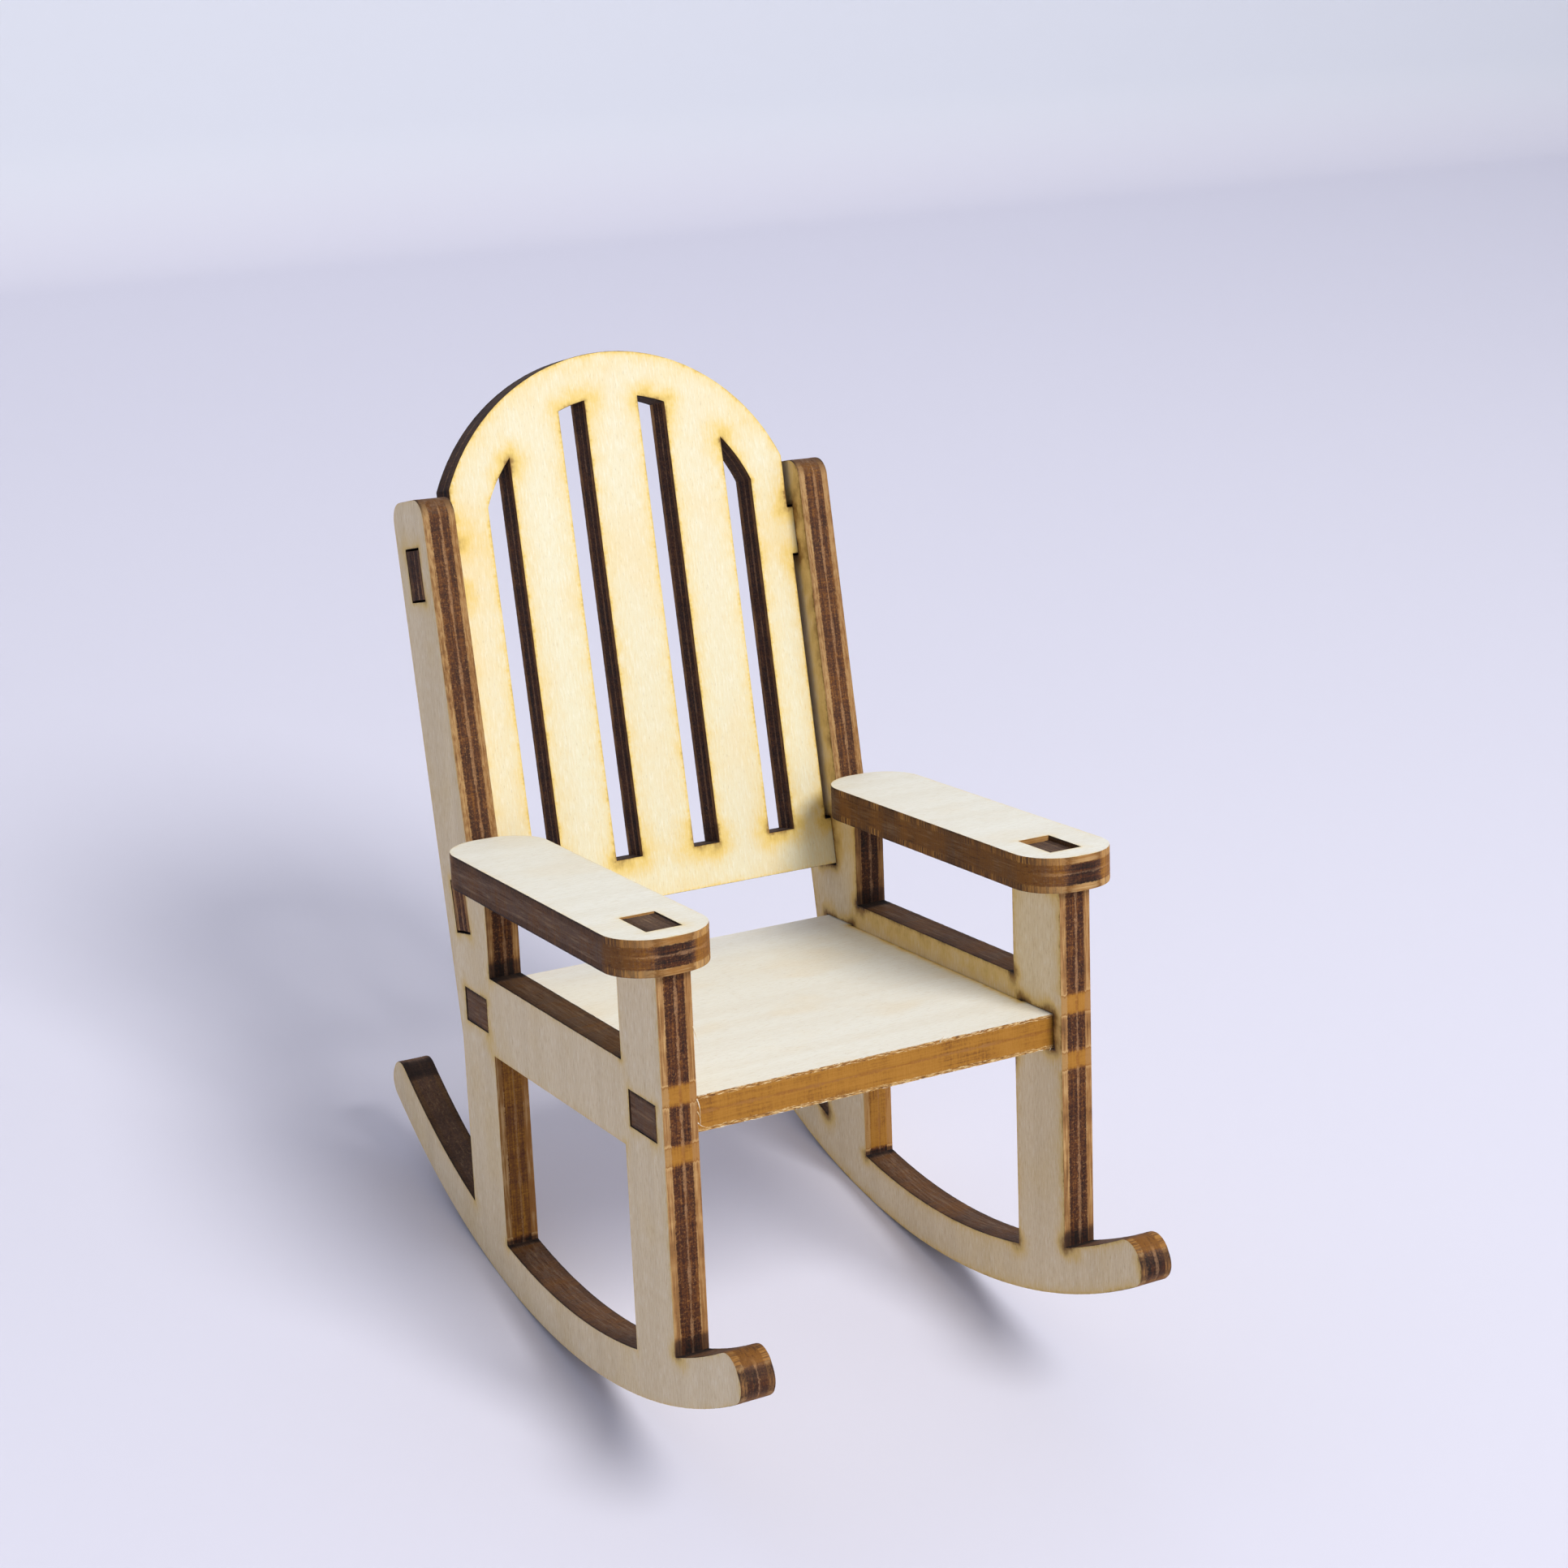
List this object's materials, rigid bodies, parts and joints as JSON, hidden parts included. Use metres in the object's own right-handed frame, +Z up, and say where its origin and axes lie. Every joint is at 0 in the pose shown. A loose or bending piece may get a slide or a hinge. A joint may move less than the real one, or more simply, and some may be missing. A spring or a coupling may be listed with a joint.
{
  "type": "miniature rocking chair",
  "caption": "Dolls house rocking chair of tabbed laser-cut plywood: rocker side frames, seat, slatted arched back and round-ended armrests.",
  "frame": {"origin": "on the floor under the middle of the chair's box, with the chair leaned back to where it balances on its rockers", "axes": "+X across the chair to the right of someone who faces it, -Y the way the chair faces, +Z up"},
  "size_m": [0.0468, 0.073, 0.0763],
  "materials": {
    "plywood": "raw laser-cut plywood with scorched brown edges"
  },
  "bodies": {
    "root": {"left_side_frame": "plywood", "right_side_frame": "plywood", "seat_panel": "plywood", "back_panel": "plywood", "left_armrest": "plywood", "right_armrest": "plywood"}
  },
  "joints": []
}
